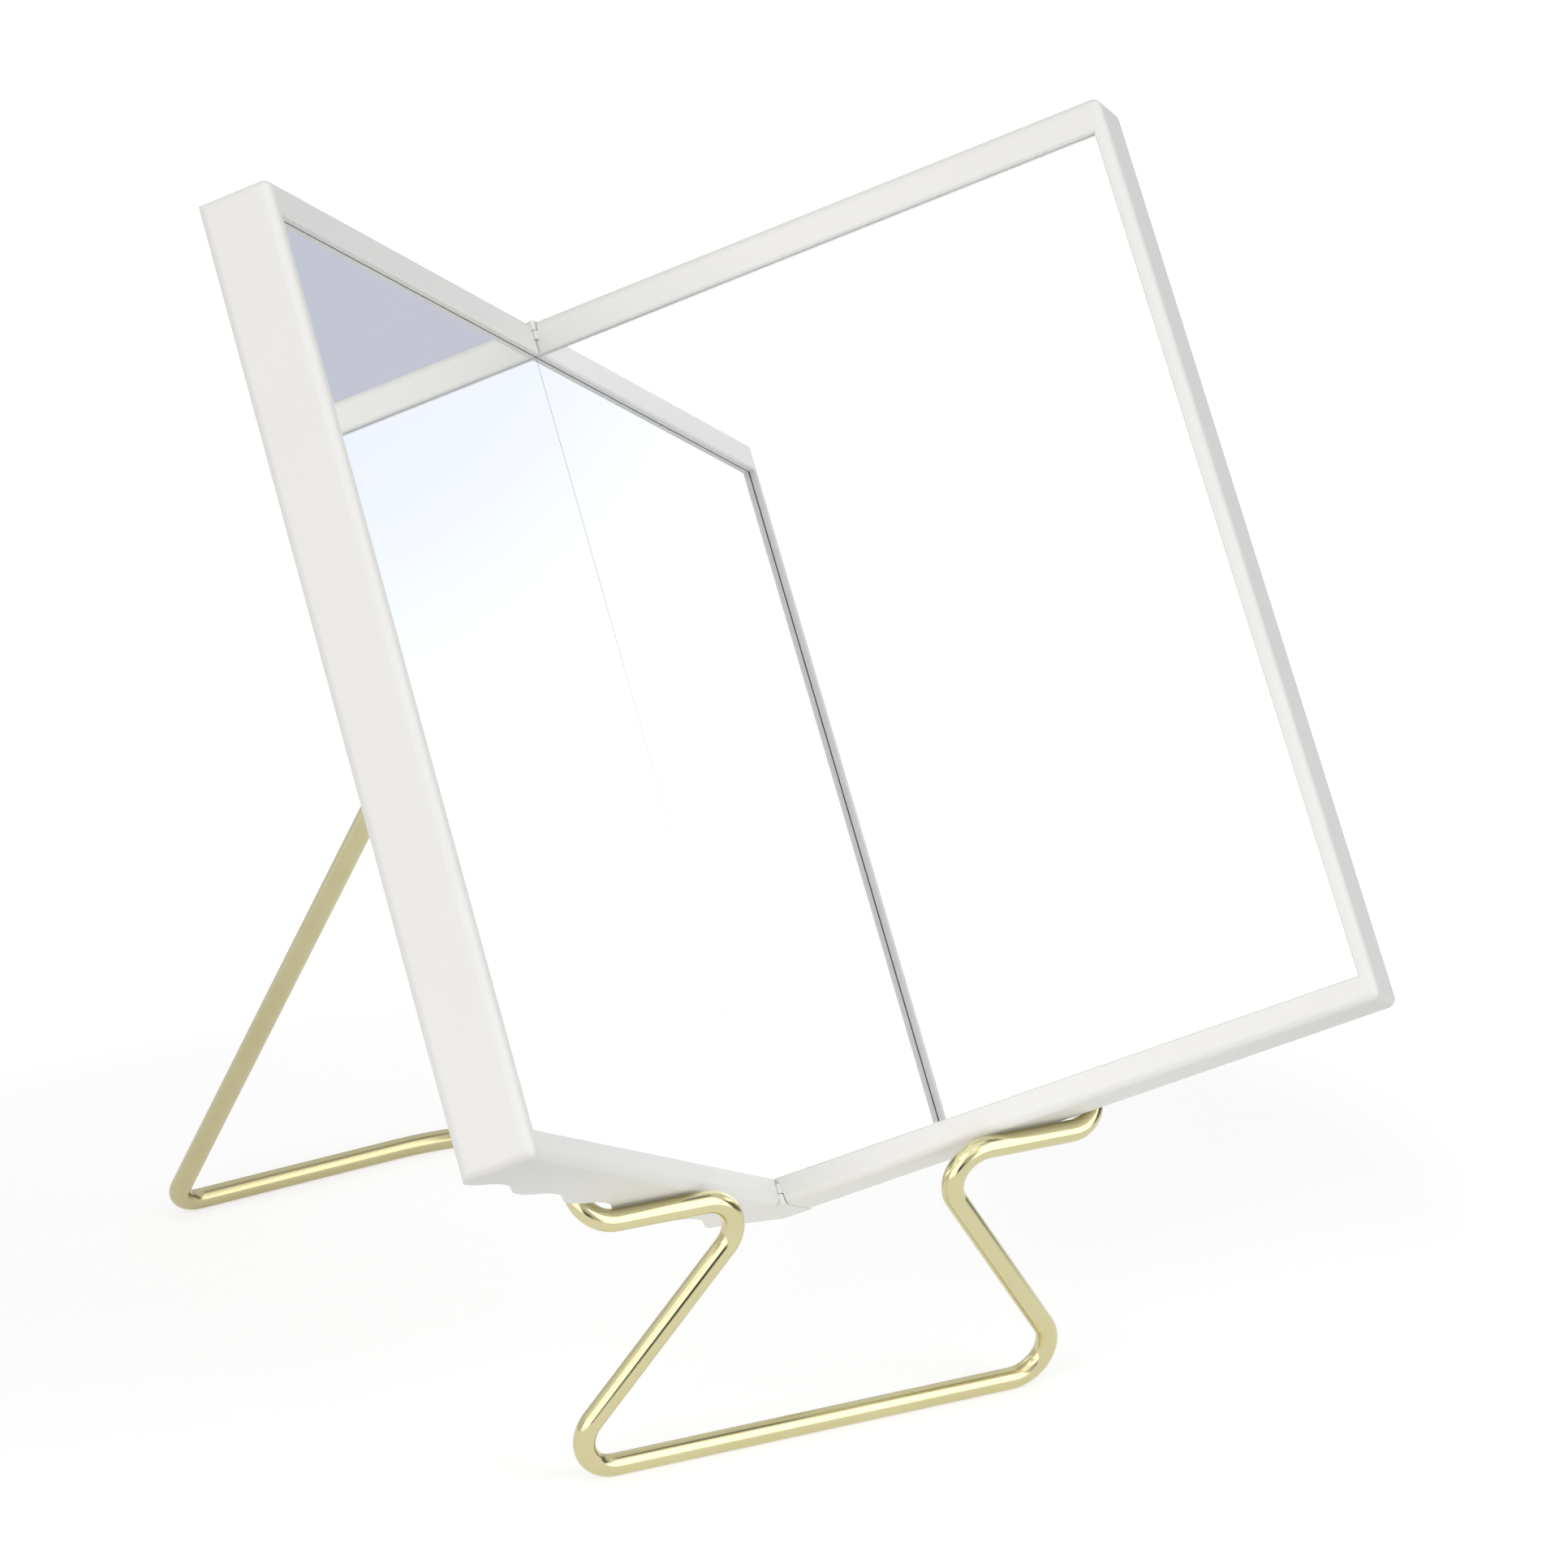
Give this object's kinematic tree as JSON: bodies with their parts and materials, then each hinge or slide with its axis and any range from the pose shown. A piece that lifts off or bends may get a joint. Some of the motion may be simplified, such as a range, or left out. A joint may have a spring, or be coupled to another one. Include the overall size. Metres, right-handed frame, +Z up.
{
  "type": "non-reversing mirror",
  "caption": "Folding table mirror: front-surface glasses meeting at a right angle in moulded frames, leaning back on a stand bent from wire.",
  "frame": {"origin": "on the table, on the plane of symmetry of the wire stand, midway between its front foot bar and its rear corners", "axes": "+X to the viewer's right, +Y away from the viewer, +Z up, with the mirror opened and standing on its stand"},
  "size_m": [0.1885, 0.2261, 0.2362],
  "materials": {
    "ivory_moulding": "satin moulded, off-white",
    "ivory_cover": "fine matt moulded, off-white",
    "mirror_glass": "front-surface silvered, clear",
    "backing_rubber": "soft rubber sheet, dark grey",
    "gold_wire": "polished, plated pale gold",
    "pin_steel": "drawn steel"
  },
  "bodies": {
    "stand": {"wire_stand": "gold_wire"},
    "right_panel": {"right_frame": "ivory_moulding", "right_back_cover": "ivory_cover", "right_mirror": "mirror_glass", "right_backing_sheet": "backing_rubber"},
    "left_panel": {"left_frame": "ivory_moulding", "left_back_cover": "ivory_cover", "left_mirror": "mirror_glass", "left_backing_sheet": "backing_rubber", "upper_hinge_pin": "pin_steel", "lower_hinge_pin": "pin_steel"}
  },
  "joints": [
    {"name": "lift_off", "type": "slide", "parent": "stand", "child": "right_panel", "axis": [0, 0.5664, 0.8241], "range_m": [0, 0.06]},
    {"name": "fold", "type": "hinge", "parent": "right_panel", "child": "left_panel", "pos_m": [0, -0.06701, 0.04064], "axis": [0, 0.5664, 0.8241], "range_deg": [0, 90]}
  ]
}
